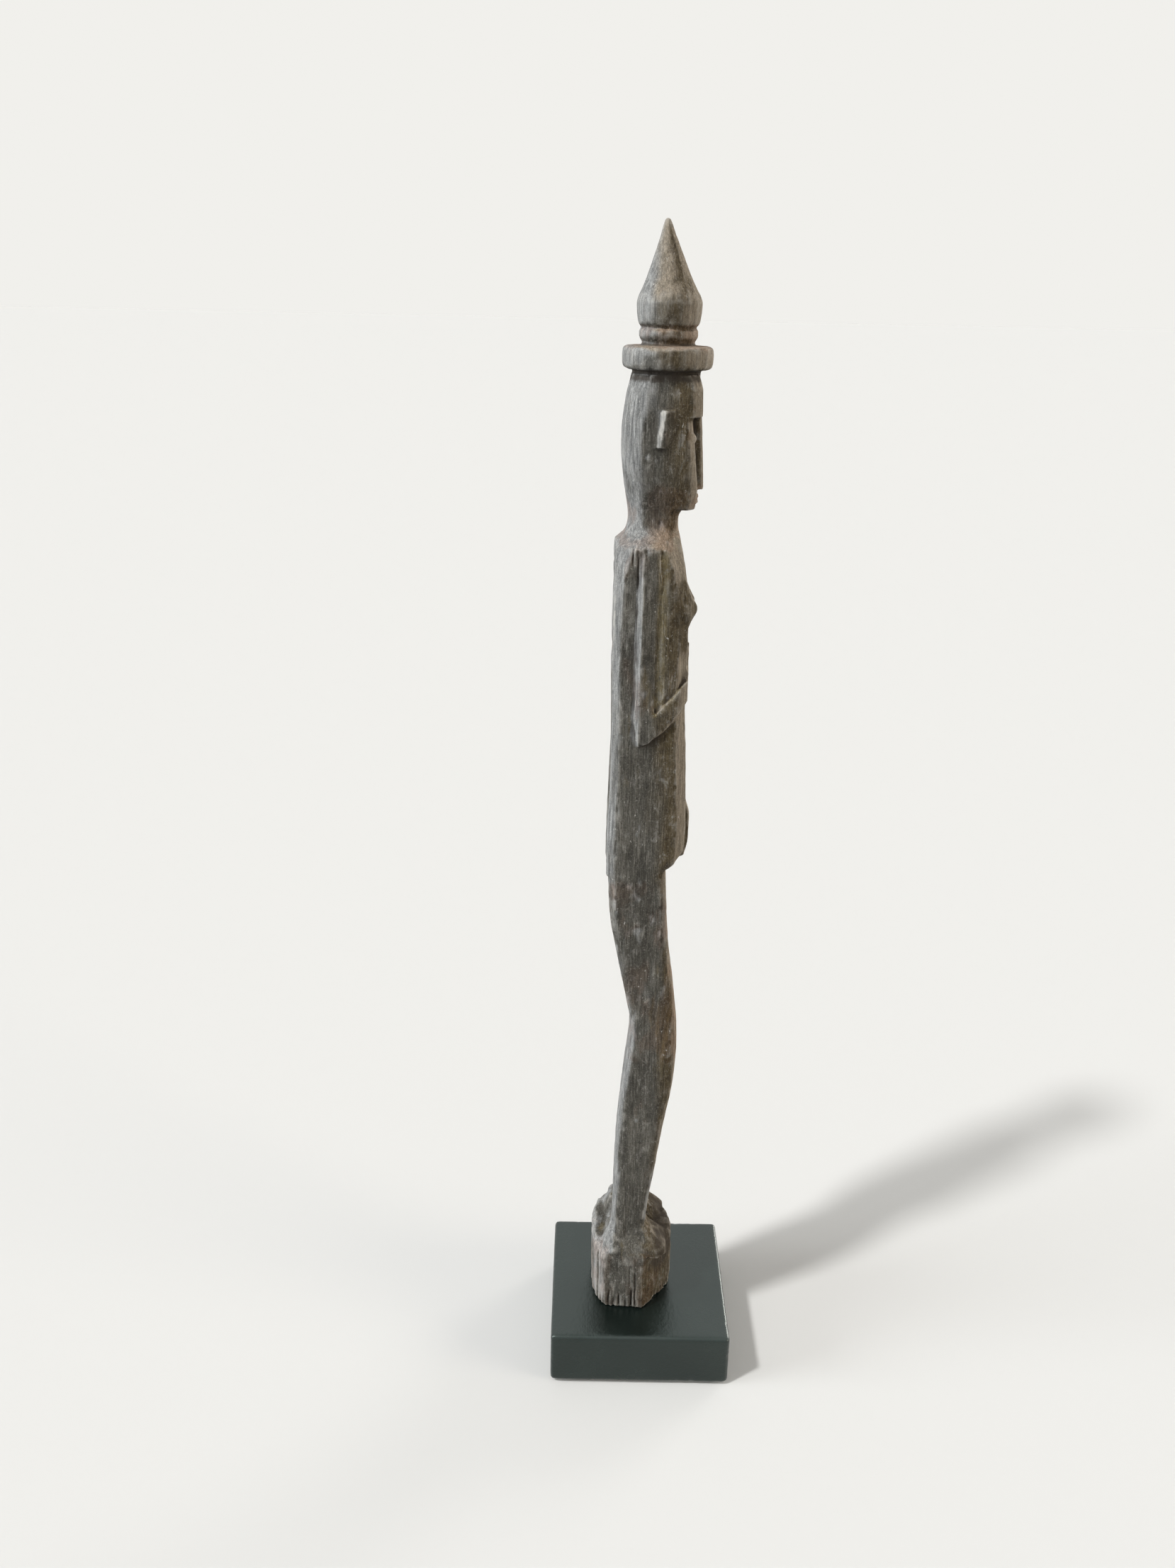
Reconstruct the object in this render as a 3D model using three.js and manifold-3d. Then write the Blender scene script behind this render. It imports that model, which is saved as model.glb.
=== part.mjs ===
// A carved ancestor figure standing on a painted display block.
// Millimetres, +Z up. The figure faces -Y, and the origin is on the ground under the centre of the block.

import * as THREE from 'three';
import { mergeVertices } from 'three/addons/utils/BufferGeometryUtils.js';
import Module from 'manifold-3d';

const wasm = await Module();
wasm.setup();

// Driving dimensions of the base.
const CONTACT_GAP = 0.3;
const FELT_THICKNESS = 1.5;
const FELT_RADIUS = 8;
const FELT_INSET = 13;
const BLOCK_SIDE = 100;
const BLOCK_HEIGHT = 31;
const BLOCK_CORNER_RADIUS = 1.6;
const BLOCK_EDGE_CUT = 1;

// Driving dimensions of the screws that hold the figure to the block.
const SCREW_SPACING = 26;
const SCREW_BACK = 6;
const SCREW_CORE_RADIUS = 1.8;
const SCREW_THREAD_RADIUS = 2.5;
const SCREW_THREAD_PITCH = 2.5;
const SCREW_HEAD_RADIUS = 4.8;
const SCREW_HEAD_HEIGHT = 3.4;
const SCREW_BITE = 24;
const SCREW_RECESS_WIDTH = 1.2;
const SCREW_RECESS_LENGTH = 5;
const SCREW_RECESS_DEPTH = 1.8;
const SCREW_CLEARANCE = 0.35;
const WASHER_RADIUS = 6.2;
const WASHER_THICKNESS = 1.2;
const COUNTERBORE_RADIUS = 7.5;
const COUNTERBORE_DEPTH = 11;

// Heights where the pieces meet.
const BLOCK_BOTTOM = FELT_THICKNESS + CONTACT_GAP;
const BLOCK_TOP = BLOCK_BOTTOM + BLOCK_HEIGHT;
const FIGURE_BOTTOM = BLOCK_TOP + CONTACT_GAP;
const WASHER_TOP = BLOCK_BOTTOM + COUNTERBORE_DEPTH - CONTACT_GAP;
const SCREW_SEAT = WASHER_TOP - WASHER_THICKNESS - CONTACT_GAP;

// Driving dimensions of the figure. Its heights are measured from the underside of its pedestal.
const LEG_SPACING = 25;
const LEFT_CALF_TRIM = 2.2;
const KNEE_HEIGHT = 170;
const ARM_RELIEF = 2.3;
const ARM_BACK = 14.4;
const ARM_RIDGE_CUT = 2.8;
const ARM_FADE_START = 420;
const ARM_FADE_END = 434;
const WRIST_RELIEF = 0.9;
const HAND_RELIEF = 1.3;
const EAR_RELIEF = 2.4;
const EAR_BOTTOM = 478.4;
const EAR_TOP = 495.2;
const EAR_SLANT = 1.8;
const HEADDRESS_CENTRE = 3;
const HEADDRESS_LEAN_START = 541;
const HEADDRESS_LEAN = 0.06;
const PEDESTAL_CENTRE = 5;

// A station is a rectangle in plan with its corners cut off:
// [height, front y, back y, half width, front corner cut, back corner cut].
const TORSO = [
  [250, -11.4, 24.4, 20.4, 5.5, 4],
  [268, -12.6, 25.2, 21.5, 5, 4.2],
  [286, -13.8, 25.2, 22, 5, 4.2],
  [310, -13.2, 24.6, 21.8, 5, 4],
  [335, -12.2, 24.2, 21.4, 4.8, 3.8],
  [358, -11, 24.6, 21.2, 4.6, 3.8],
  [390, -11, 25.2, 21, 4.6, 4],
  [410, -10.2, 25.2, 21.2, 5, 4.6],
  [422, -8.8, 25.3, 21.5, 6, 6],
  [432.6, -6.8, 24.8, 21.6, 8, 8.8],
];
const SHOULDER_SLOPE = [
  [432.6, -6.8, 24.8, 21.6, 8, 8.8],
  [436.6, -5.8, 21, 17.4, 6, 7],
  [441.5, -4.6, 19.4, 12.8, 4, 6],
];
const NECK = [
  [430, -5, 20.4, 13.4, 4, 6],
  [441.5, -4.6, 19.4, 12.6, 4, 6],
  [447, -4.6, 19, 12.2, 4, 6],
  [454, -7.6, 20, 12.6, 4, 6],
];
const HEAD = [
  [449.8, -12, 19.6, 12.4, 3.6, 6.2],
  [455, -12.8, 20.4, 14, 3.4, 6.8],
  [463, -12, 21.9, 15.8, 3, 7.4],
  [477, -10.4, 23.1, 17.2, 2.6, 8],
  [493, -8.6, 22.7, 17.5, 2.6, 8],
  [504, -8.6, 20.9, 17.1, 3, 8],
  [510.6, -8.6, 19.2, 16, 4, 8],
];
const BROW = [
  [491.8, -13.6, 2, 17.1, 4.4, 1],
  [504, -13.3, 2, 16.9, 4.4, 1],
  [510.6, -11.2, 2, 15.6, 4.4, 1],
];
const NOSE = [
  [458.6, -15.9, -6, 4.6, 1.2, 0.4],
  [475, -15.2, -6, 3.8, 1.2, 0.4],
  [492, -13.9, -6, 3.2, 1.2, 0.4],
];
const LEG = [
  [36, -0.8, 17.4, 8, 2.6, 2.6],
  [60, -2.4, 17, 8.2, 2.6, 2.6],
  [90, -6.3, 16.6, 8.6, 2.8, 2.6],
  [115, -9.7, 15.7, 9, 3, 2.8],
  [140, -13.3, 14, 9.2, 3.2, 3],
  [162, -14.9, 11.8, 9.3, 3.4, 3],
  [178, -14.5, 10.1, 9.3, 3.4, 2.8],
  [200, -12, 14.2, 9.3, 3.2, 2.8],
  [222, -8.8, 19, 9.2, 3, 3],
  [244, -6.4, 23, 9.1, 3, 3.2],
  [280, -4.4, 23.6, 9.1, 3, 3.2],
];
const FOOT = [
  [34, -14.4, 22.2, 13.4, 5, 5],
  [38.4, -13.6, 21.6, 12.6, 5, 5],
  [42.4, -9.8, 20.4, 10.6, 4.2, 4.4],
  [46, -5.6, 19, 9, 3.4, 3.4],
  [51, -1.8, 17.6, 8, 2.6, 2.8],
];
const FIGURE_RING_STEP = 9;
const EAR_RING_STEP = 6;

// The side outline of an arm in relief, as [y, height], from the shoulder down the back of the arm.
const ARM_OUTLINE = [
  [13.8, 436], [14.3, 404], [14.5, 376], [13.7, 352], [11.7, 336.6], [6.6, 338.6], [0.2, 344.2],
  [-5.4, 350.4], [-11, 358], [-20, 366], [-20, 374], [-9.6, 368.4], [-5, 362.6], [-0.2, 358],
  [4.2, 352.6], [4.5, 372], [4.2, 392], [2.8, 420], [3.6, 436],
];
// The front outline of a hand in relief, as [x, height], for the hand on the +X side.
const HAND_OUTLINE = [
  [17, 358], [11, 359.6], [5, 363.4], [2.4, 369], [2.6, 379], [4.2, 385.4], [7.6, 386], [11, 383],
  [13.4, 376], [17, 373],
];
// The plan of an ear at its top, as [relief, y]: a steep back face and a long slope towards the face.
const EAR_PLAN = [[-4, 7.6], [0, 7.2], [1, 3.6], [0.72, 1.8], [0, -1.6], [-4, -2]];
// The underside of the hips, as [y, height]: high at the front and lower at the back.
const HIP_UNDERSIDE = [[-20, 284], [-13, 279.4], [-9.2, 274.6], [-3.8, 270.2], [4, 267.4], [30, 264.6]];
// The centre tab on the front of the hips, as [y, height].
const TAB_OUTLINE = [[-10, 304], [-14.4, 303], [-17, 294], [-16.8, 280], [-15, 271.4], [-8, 269]];
const TAB_HALF_WIDTH = 3.6;

// The turned headdress, as [radius, height] from the tip to the peg inside the head.
const HEADDRESS_OUTLINE = [
  [0, 576.3], [1.2, 576.2], [3.4, 569.4], [7.8, 557.4], [11.2, 549], [14, 544], [15, 541], [14.8, 537.4],
  [14.3, 533], [13.8, 531.4], [12.5, 530.6], [12.5, 529.8], [13.5, 528.9], [13.6, 526.4], [12.9, 525],
  [12.1, 524.2], [12.1, 522.5],
  [19.6, 522.2], [20.7, 521.2], [21, 518.8], [20.9, 514.6], [20.3, 512.8], [18.4, 512], [15.4, 511.8],
  [15.2, 508], [0, 508],
];
const HEADDRESS_SIDES = 20;

// The plan of the pedestal, as [x, y].
const PEDESTAL_PLAN = [
  [-27.5, -1], [-20.4, -7.4], [-11.4, -14.4], [-5, -18.2], [5, -17.8], [15.6, -14.2], [24.4, -6.4],
  [28, 4], [26.6, 18], [20, 25], [8, 27.6], [-9, 27.6], [-18.4, 24.6], [-25.8, 20.4],
];
// The pedestal rises straight to a flat top with a worn edge: [height, size of the plan].
const PEDESTAL_RISE = [[0, 0.985], [1.6, 1], [36.2, 1], [38.2, 0.965], [39, 0.88], [39.4, 0.6]];
const PEDESTAL_TOP_START = 30;
const PEDESTAL_TOP_SLOPE = 0.07;

const BREAST_HEIGHT = 403;
const BREAST_SPACING = 19;
const BREAST_TIP = -15.4;
// Half of a breast's outline, as [radius, depth behind the tip].
const BREAST_OUTLINE = [[0, 0], [1.6, 0.2], [3.6, 1.5], [6.4, 3], [9.4, 4.2], [11, 6], [10, 10], [0, 10]];

const SLOT_COLOURS = {
  wood: { color: 0x6f675b, roughness: 0.9, metalness: 0 },
  paint: { color: 0x3b4545, roughness: 0.6, metalness: 0 },
  steel: { color: 0xb4b6b8, roughness: 0.35, metalness: 1 },
  felt: { color: 0x23211f, roughness: 1, metalness: 0 },
};

const carvedWood = () => new THREE.MeshStandardMaterial(SLOT_COLOURS.wood);
const blackPaint = () => new THREE.MeshStandardMaterial(SLOT_COLOURS.paint);
const zincSteel = () => new THREE.MeshStandardMaterial(SLOT_COLOURS.steel);
const darkFelt = () => new THREE.MeshStandardMaterial(SLOT_COLOURS.felt);

// A closed geometry as a solid that can be cut and joined.
function solid(geometry) {
  const bare = geometry.clone();
  bare.deleteAttribute('normal');
  bare.deleteAttribute('uv');
  const merged = mergeVertices(bare, 1e-4);
  const mesh = new wasm.Mesh({
    numProp: 3,
    vertProperties: new Float32Array(merged.attributes.position.array),
    triVerts: new Uint32Array(merged.index.array),
  });
  return new wasm.Manifold(mesh);
}

// A solid as a geometry again.
function geometryOf(body) {
  const mesh = body.getMesh();
  const geometry = new THREE.BufferGeometry();
  geometry.setAttribute('position', new THREE.BufferAttribute(mesh.vertProperties, 3));
  geometry.setIndex(new THREE.BufferAttribute(mesh.triVerts, 1));
  geometry.computeVertexNormals();
  return geometry;
}

const join = (bodies) => bodies.reduce((whole, body) => whole.add(body));

// A closed skin over rings of points that run anticlockwise, from the lowest ring to the highest.
function loft(rings) {
  const sides = rings[0].length;
  const top = (rings.length - 1) * sides;
  const index = [];
  for (let corner = 0; corner < top; corner += 1) {
    const next = corner % sides === sides - 1 ? corner + 1 - sides : corner + 1;
    index.push(corner, next, next + sides, corner, next + sides, corner + sides);
  }
  for (let side = 1; side < sides - 1; side += 1) {
    index.push(0, side + 1, side, top, top + side, top + side + 1);
  }
  const geometry = new THREE.BufferGeometry();
  geometry.setAttribute('position', new THREE.Float32BufferAttribute(rings.flat(2), 3));
  geometry.setIndex(index);
  return geometry;
}

// The ring of a station, with its sides moved outwards by wider and its front and back by deeper.
function ring([height, front, back, half, frontCut, backCut], wider, deeper) {
  const near = front - deeper;
  const far = back + deeper;
  const side = half + wider;
  const corners = [
    [side - frontCut, near], [side, near + frontCut], [side, far - backCut], [side - backCut, far],
    [backCut - side, far], [-side, far - backCut], [-side, near + frontCut], [frontCut - side, near],
  ];
  return corners.map(([x, y]) => [x, y, height]);
}

// Adds evenly spaced stations on a smooth curve through the given ones.
function refine(stations, step) {
  const heights = stations.map((station) => station[0]);
  const low = heights[0];
  const rise = heights[heights.length - 1] - low;
  const curve = new THREE.CubicInterpolant(heights, stations.flat(), stations[0].length);
  const count = Math.ceil(rise / step);
  return Array.from({ length: count + 1 }, (_, i) => Array.from(curve.evaluate(low + (rise * i) / count)));
}

function stationBody(stations, wider = 0, deeper = 0) {
  return solid(loft(stations.map((station) => ring(station, wider, deeper))));
}

// An outline in the side plane, [y, height], swept along X from one x to another.
function sideSlab(outline, fromX, toX) {
  const shape = new THREE.Shape(outline.map(([y, height]) => new THREE.Vector2(y, height)));
  const geometry = new THREE.ExtrudeGeometry(shape, { depth: toX - fromX, bevelEnabled: false });
  const axes = new THREE.Matrix4().makeBasis(
    new THREE.Vector3(0, 1, 0),
    new THREE.Vector3(0, 0, 1),
    new THREE.Vector3(1, 0, 0),
  );
  return solid(geometry.applyMatrix4(axes).translate(fromX, 0, 0));
}

// An outline in the front plane, [x, height], swept along Y from one y to another.
function frontSlab(outline, fromY, toY) {
  const shape = new THREE.Shape(outline.map(([x, height]) => new THREE.Vector2(x, height)));
  const geometry = new THREE.ExtrudeGeometry(shape, { depth: toY - fromY, bevelEnabled: false });
  return solid(geometry.rotateX(Math.PI / 2).translate(0, toY, 0));
}

function box(sizeX, sizeY, sizeZ, x, y, z) {
  return solid(new THREE.BoxGeometry(sizeX, sizeY, sizeZ).translate(x, y, z));
}

function upright(radius, bottom, top, x = 0, y = 0, sides = 24) {
  const geometry = new THREE.CylinderGeometry(radius, radius, top - bottom, sides);
  return geometry.rotateX(Math.PI / 2).translate(x, y, (bottom + top) / 2);
}

function bothSides(body) {
  return body.add(body.mirror([1, 0, 0]));
}

function headdress() {
  const profile = HEADDRESS_OUTLINE.map(([radius, height]) => new THREE.Vector2(radius, height)).reverse();
  const geometry = new THREE.LatheGeometry(profile, HEADDRESS_SIDES);
  geometry.rotateX(Math.PI / 2).translate(0, HEADDRESS_CENTRE, 0);
  const place = geometry.attributes.position;
  for (let i = 0; i < place.count; i += 1) {
    const above = Math.max(0, place.getZ(i) - HEADDRESS_LEAN_START);
    place.setY(i, place.getY(i) + above * HEADDRESS_LEAN);
  }
  return solid(geometry);
}

// A low almond on the cheek below the brow.
function eye() {
  const geometry = new THREE.SphereGeometry(1, 14, 8).scale(4.6, 1.7, 2);
  return solid(geometry.rotateX(-0.12).translate(10, -9.4, 482.5));
}

function lips() {
  const upper = new THREE.SphereGeometry(1, 14, 8).scale(6, 1.6, 1.1).translate(0, -12.5, 455.2);
  const lower = new THREE.SphereGeometry(1, 14, 8).scale(5.4, 1.6, 1.1).translate(0, -12.4, 452.6);
  return solid(upper).add(solid(lower));
}

// An ear is a slanted ridge on the side of the head, further forward at its top than at its lobe.
function ear() {
  const rings = refine(HEAD, EAR_RING_STEP).map(([height, , , half]) => {
    const back = ((EAR_TOP - height) / (EAR_TOP - EAR_BOTTOM)) * EAR_SLANT;
    return EAR_PLAN.map(([relief, y]) => [half + relief * EAR_RELIEF, y + back, height]).reverse();
  });
  const middle = (EAR_TOP + EAR_BOTTOM) / 2;
  return solid(loft(rings)).intersect(box(30, 30, EAR_TOP - EAR_BOTTOM, 20, 4, middle));
}

function head() {
  return join([
    stationBody(refine(HEAD, FIGURE_RING_STEP)),
    stationBody(BROW),
    stationBody(NOSE),
    bothSides(eye()),
    bothSides(ear()),
    lips(),
  ]);
}

function breast() {
  const profile = BREAST_OUTLINE.map(([radius, depth]) => new THREE.Vector2(radius, depth));
  const geometry = new THREE.LatheGeometry(profile, 16);
  return solid(geometry.translate(BREAST_SPACING / 2, BREAST_TIP, BREAST_HEIGHT));
}

// An arm stands out from the side of the torso, has a cut ridge at its back and sinks into the shoulder.
function arm() {
  const stations = refine(TORSO, FIGURE_RING_STEP).map(([height, front, , half, frontCut]) => {
    const fade = THREE.MathUtils.smoothstep(height, ARM_FADE_START, ARM_FADE_END);
    const relief = ARM_RELIEF * (1 - fade);
    return [height, front - WRIST_RELIEF, ARM_BACK, half + relief, frontCut, ARM_RIDGE_CUT];
  });
  return sideSlab(ARM_OUTLINE, 8, 30).intersect(stationBody(stations));
}

function hand() {
  const torso = stationBody(refine(TORSO, FIGURE_RING_STEP), 0, HAND_RELIEF);
  return frontSlab(HAND_OUTLINE, -20, -6).intersect(torso);
}

function torso() {
  const underside = [...HIP_UNDERSIDE, [30, 240], [-20, 240]];
  const trunk = join([
    stationBody(refine(TORSO, FIGURE_RING_STEP)),
    stationBody(SHOULDER_SLOPE),
    bothSides(arm()),
    bothSides(hand()),
    bothSides(breast()),
  ]);
  return trunk.subtract(sideSlab(underside, -40, 40)).add(sideSlab(TAB_OUTLINE, -TAB_HALF_WIDTH, TAB_HALF_WIDTH));
}

// The calf of the left leg is cut a little slimmer at the back than that of the right leg.
function leg(side, calfTrim) {
  const stations = LEG.map(([height, front, back, ...rest]) => {
    const trim = height < KNEE_HEIGHT ? calfTrim : 0;
    return [height, front, back - trim, ...rest];
  });
  const shank = stationBody(refine(stations, FIGURE_RING_STEP));
  return shank.add(stationBody(FOOT)).translate([(side * LEG_SPACING) / 2, 0, 0]);
}

function pedestal() {
  const rings = PEDESTAL_RISE.map(([height, size]) => {
    const slope = height > PEDESTAL_TOP_START ? PEDESTAL_TOP_SLOPE : 0;
    const middle = PEDESTAL_CENTRE * (1 - size);
    return PEDESTAL_PLAN.map(([x, y]) => [x * size, y * size + middle, height + x * slope]);
  });
  return solid(loft(rings));
}

function pilotHole() {
  const radius = SCREW_THREAD_RADIUS + SCREW_CLEARANCE;
  const depth = SCREW_BITE + 2;
  return solid(upright(radius, -1, depth, SCREW_SPACING / 2, SCREW_BACK, 16));
}

function carvedFigure() {
  const body = join([
    headdress(),
    head(),
    stationBody(refine(NECK, FIGURE_RING_STEP)),
    torso(),
    leg(1, LEFT_CALF_TRIM),
    leg(-1, 0),
    pedestal(),
  ]);
  const mesh = new THREE.Mesh(geometryOf(body.subtract(bothSides(pilotHole()))), carvedWood());
  mesh.name = 'carved_figure';
  mesh.position.z = FIGURE_BOTTOM;
  return mesh;
}

// The plan of the block, a square with rounded corners, with its sides moved in by inset.
function blockRing(height, inset) {
  const centre = BLOCK_SIDE / 2 - BLOCK_CORNER_RADIUS;
  const radius = BLOCK_CORNER_RADIUS - inset;
  const points = [];
  for (let step = 0; step < 16; step += 1) {
    const quarter = Math.floor(step / 4);
    const angle = (quarter + (step % 4) / 3) * (Math.PI / 2);
    const x = quarter === 0 || quarter === 3 ? centre : -centre;
    const y = quarter < 2 ? centre : -centre;
    points.push([x + radius * Math.cos(angle), y + radius * Math.sin(angle), height]);
  }
  return points;
}

function mountingBlock() {
  const body = solid(loft([
    blockRing(0, BLOCK_EDGE_CUT),
    blockRing(BLOCK_EDGE_CUT, 0),
    blockRing(BLOCK_HEIGHT - BLOCK_EDGE_CUT, 0),
    blockRing(BLOCK_HEIGHT, BLOCK_EDGE_CUT),
  ]));
  const x = SCREW_SPACING / 2;
  const bore = solid(upright(SCREW_THREAD_RADIUS + SCREW_CLEARANCE, -1, BLOCK_HEIGHT + 1, x, SCREW_BACK));
  const counterbore = solid(upright(COUNTERBORE_RADIUS, -1, COUNTERBORE_DEPTH, x, SCREW_BACK, 32));
  const mesh = new THREE.Mesh(geometryOf(body.subtract(bothSides(bore.add(counterbore)))), blackPaint());
  mesh.name = 'mounting_block';
  mesh.position.z = BLOCK_BOTTOM;
  return mesh;
}

// A pan-head wood screw that points up, with its head below z = 0.
function woodScrew(name, x) {
  const length = FIGURE_BOTTOM - SCREW_SEAT + SCREW_BITE;
  const tip = SCREW_THREAD_PITCH * 1.5;
  const threads = Math.floor((SCREW_BITE - tip) / SCREW_THREAD_PITCH);
  const threadStart = length - tip - threads * SCREW_THREAD_PITCH;
  const outline = [
    [0, -SCREW_HEAD_HEIGHT],
    [SCREW_HEAD_RADIUS * 0.6, -SCREW_HEAD_HEIGHT],
    [SCREW_HEAD_RADIUS * 0.9, -SCREW_HEAD_HEIGHT * 0.7],
    [SCREW_HEAD_RADIUS, -SCREW_HEAD_HEIGHT * 0.3],
    [SCREW_HEAD_RADIUS, 0],
    [SCREW_THREAD_RADIUS, 0],
    [SCREW_THREAD_RADIUS, threadStart - SCREW_THREAD_PITCH],
    [SCREW_CORE_RADIUS, threadStart - SCREW_THREAD_PITCH / 2],
  ];
  for (let turn = 0; turn < threads; turn += 1) {
    const z = threadStart + turn * SCREW_THREAD_PITCH;
    outline.push([SCREW_CORE_RADIUS, z], [SCREW_THREAD_RADIUS, z + SCREW_THREAD_PITCH / 2]);
  }
  outline.push([SCREW_CORE_RADIUS, length - tip], [0, length]);
  const profile = outline.map(([radius, z]) => new THREE.Vector2(radius, z));
  const shank = solid(new THREE.LatheGeometry(profile, 14).rotateX(Math.PI / 2));
  const recessZ = -SCREW_HEAD_HEIGHT + SCREW_RECESS_DEPTH / 2 - 0.5;
  const recessHeight = SCREW_RECESS_DEPTH + 1;
  const slot = box(SCREW_RECESS_LENGTH, SCREW_RECESS_WIDTH, recessHeight, 0, 0, recessZ);
  const cross = box(SCREW_RECESS_WIDTH, SCREW_RECESS_LENGTH, recessHeight, 0, 0, recessZ);
  const mesh = new THREE.Mesh(geometryOf(shank.subtract(slot.add(cross))), zincSteel());
  mesh.name = name;
  mesh.position.set(x, SCREW_BACK, SCREW_SEAT);
  return mesh;
}

function screwWasher(name, x) {
  const bottom = WASHER_TOP - WASHER_THICKNESS;
  const disc = solid(upright(WASHER_RADIUS, 0, WASHER_THICKNESS, 0, 0, 28));
  const hole = solid(upright(SCREW_THREAD_RADIUS + SCREW_CLEARANCE, -1, WASHER_THICKNESS + 1));
  const mesh = new THREE.Mesh(geometryOf(disc.subtract(hole)), zincSteel());
  mesh.name = name;
  mesh.position.set(x, SCREW_BACK, bottom);
  return mesh;
}

function feltPad(name, x, y) {
  const geometry = upright(FELT_RADIUS, 0, FELT_THICKNESS, 0, 0, 28);
  const mesh = new THREE.Mesh(geometryOf(solid(geometry)), darkFelt());
  mesh.name = name;
  mesh.position.set(x, y, 0);
  return mesh;
}

function screws() {
  const group = new THREE.Group();
  for (const [side, x] of [['left', SCREW_SPACING / 2], ['right', -SCREW_SPACING / 2]]) {
    group.add(woodScrew(`wood_screw_${side}`, x), screwWasher(`screw_washer_${side}`, x));
  }
  return group;
}

function feltPads() {
  const group = new THREE.Group();
  const reach = BLOCK_SIDE / 2 - FELT_INSET;
  [[-1, -1], [1, -1], [1, 1], [-1, 1]].forEach(([x, y], i) => {
    group.add(feltPad(`felt_pad_${i + 1}`, x * reach, y * reach));
  });
  return group;
}

const model = new THREE.Group();
model.add(carvedFigure(), mountingBlock(), screws(), feltPads());

export default model;
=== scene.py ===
"""Looks for the carved ancestor figure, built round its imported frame. Lengths are metres unless noted."""
import math

import bpy
import numpy as np
from mathutils import Matrix, Vector


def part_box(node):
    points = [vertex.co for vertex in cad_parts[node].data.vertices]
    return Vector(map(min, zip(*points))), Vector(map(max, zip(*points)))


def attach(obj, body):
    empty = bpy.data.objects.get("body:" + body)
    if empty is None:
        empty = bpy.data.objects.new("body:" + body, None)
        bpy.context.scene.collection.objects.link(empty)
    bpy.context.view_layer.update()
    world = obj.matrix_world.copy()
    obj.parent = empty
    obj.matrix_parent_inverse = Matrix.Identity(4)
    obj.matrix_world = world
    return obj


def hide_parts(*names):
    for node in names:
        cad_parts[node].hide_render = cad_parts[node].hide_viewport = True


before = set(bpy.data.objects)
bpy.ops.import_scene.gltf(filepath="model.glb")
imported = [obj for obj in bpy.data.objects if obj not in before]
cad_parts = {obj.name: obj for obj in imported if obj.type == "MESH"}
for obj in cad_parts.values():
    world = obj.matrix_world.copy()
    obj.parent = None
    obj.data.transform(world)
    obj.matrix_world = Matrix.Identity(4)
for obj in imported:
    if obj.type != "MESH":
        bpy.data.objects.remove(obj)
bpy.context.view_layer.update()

MM = 0.001
FIGURE_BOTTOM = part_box("carved_figure")[0].z
BLOCK_LOW, BLOCK_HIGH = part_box("mounting_block")
BLOCK_TOP = BLOCK_HIGH.z


# ---------------------------------------------------------------- camera, floor and light

CAMERA_LENS = 30.95
CAMERA_SENSOR = 36
CAMERA_SEES_TO = 100
CAMERA_PLACE = Vector((-0.6448, 0.0382, BLOCK_TOP + 0.5483))
CAMERA_PITCH = math.radians(20.36)
CAMERA_YAW = math.radians(-0.23)
CAMERA_ROLL = math.radians(1.19)
BACKGROUND = (0.879, 0.871, 0.838)


def make_camera():
    """The camera stands beside the figure's right side, a little above its head, and looks down."""
    level = math.cos(CAMERA_PITCH)
    ahead = Vector((level * math.cos(CAMERA_YAW), level * math.sin(CAMERA_YAW), -math.sin(CAMERA_PITCH)))
    right = ahead.cross(Vector((0, 0, 1))).normalized()
    up = right.cross(ahead)
    tilted_right = right * math.cos(CAMERA_ROLL) + up * math.sin(CAMERA_ROLL)
    tilted_up = up * math.cos(CAMERA_ROLL) - right * math.sin(CAMERA_ROLL)
    data = bpy.data.cameras.new("camera")
    data.lens = CAMERA_LENS
    data.sensor_width = CAMERA_SENSOR
    data.clip_end = CAMERA_SEES_TO
    camera = bpy.data.objects.new("camera", data)
    turn = Matrix((tilted_right, tilted_up, -ahead)).transposed()
    camera.matrix_world = Matrix.Translation(CAMERA_PLACE) @ turn.to_4x4()
    bpy.context.scene.collection.objects.link(camera)
    bpy.context.scene.camera = camera


FLOOR_COLOUR = (0.645, 0.650, 0.645)
FLOOR_HALF = 25
SURROUND_ABOVE = 0.16
SURROUND_BELOW = 0.30
SURROUND_IN_GLOSS = 0.98
HORIZON_BLUR = 0.3

# The studio lights, all far away: name, direction towards the light, strength, spread in degrees, colour.
LIGHTS = [
    ("sun", (-0.42, 0.64, 1.0), 2.1, 5, (1.0, 0.99, 0.97)),
    ("window", (-0.22, 0.95, 0.22), 2.9, 30, (0.965, 0.99, 1.0)),
    ("ceiling", (0.0, 0.0, 1.0), 0.8, 110, (1.0, 0.98, 0.95)),
    ("warm_fill", (-0.34, -0.91, 0.25), 1.5, 30, (1.0, 0.90, 0.76)),
    ("far_fill", (0.68, -0.70, 0.22), 1.4, 24, (1.0, 0.96, 0.90)),
]


def make_floor():
    """A pale floor that gives no bounce light: the lower half of the surround stands in for it."""
    low, high = -FLOOR_HALF, FLOOR_HALF
    mesh = bpy.data.meshes.new("floor")
    mesh.from_pydata([(low, low, 0), (high, low, 0), (high, high, 0), (low, high, 0)], [], [(0, 1, 2, 3)])
    floor = bpy.data.objects.new("floor", mesh)
    floor.visible_diffuse = False
    bpy.context.scene.collection.objects.link(floor)
    material = bpy.data.materials.new("floor")
    material.use_nodes = True
    shader = material.node_tree.nodes["Principled BSDF"]
    shader.inputs["Base Color"].default_value = (*FLOOR_COLOUR, 1)
    shader.inputs["Roughness"].default_value = 1.0
    shader.inputs["Specular IOR Level"].default_value = 0.0
    mesh.materials.append(material)


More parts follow.
